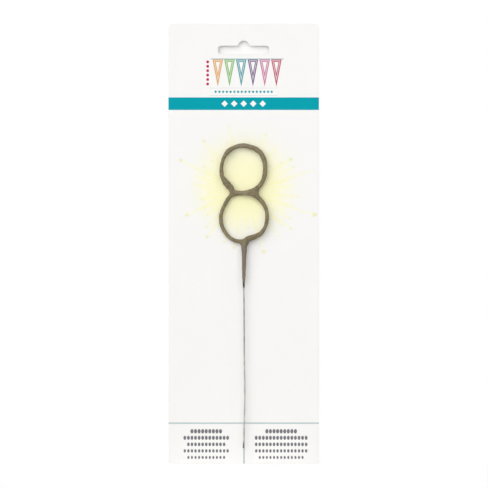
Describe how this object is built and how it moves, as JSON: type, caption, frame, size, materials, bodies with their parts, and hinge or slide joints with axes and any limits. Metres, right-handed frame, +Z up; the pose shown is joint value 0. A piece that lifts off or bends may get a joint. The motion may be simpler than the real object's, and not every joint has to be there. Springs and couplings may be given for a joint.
{
  "type": "number birthday sparkler",
  "caption": "Wire sparkler bent into a figure eight, with a grey-brown coating and a bare steel stem, held by glue dots on a white printed hanging card with a euro slot.",
  "frame": {"origin": "axis of a display peg seated in the raised middle of the hang slot, at the card's back face", "axes": "+Z up the card, +Y out of the card's back, +X to the right as the printed face is seen"},
  "size_m": [0.0886, 0.0051, 0.259],
  "materials": {
    "card_board": "satin",
    "steel_wire": "satin",
    "sparkler_slurry": "matte",
    "clear_glue": "gloss"
  },
  "bodies": {
    "card": {"backing_card": "card_board", "glue_dot_top": "clear_glue", "glue_dot_waist_left": "clear_glue", "glue_dot_waist_right": "clear_glue", "glue_dot_base": "clear_glue"},
    "sparkler": {"sparkler_wire": "steel_wire", "sparkler_coating": "sparkler_slurry"}
  },
  "joints": [
    {"name": "peel_off", "type": "slide", "parent": "card", "child": "sparkler", "axis": [0, -1, 0], "range_m": [0, 0.04]}
  ]
}
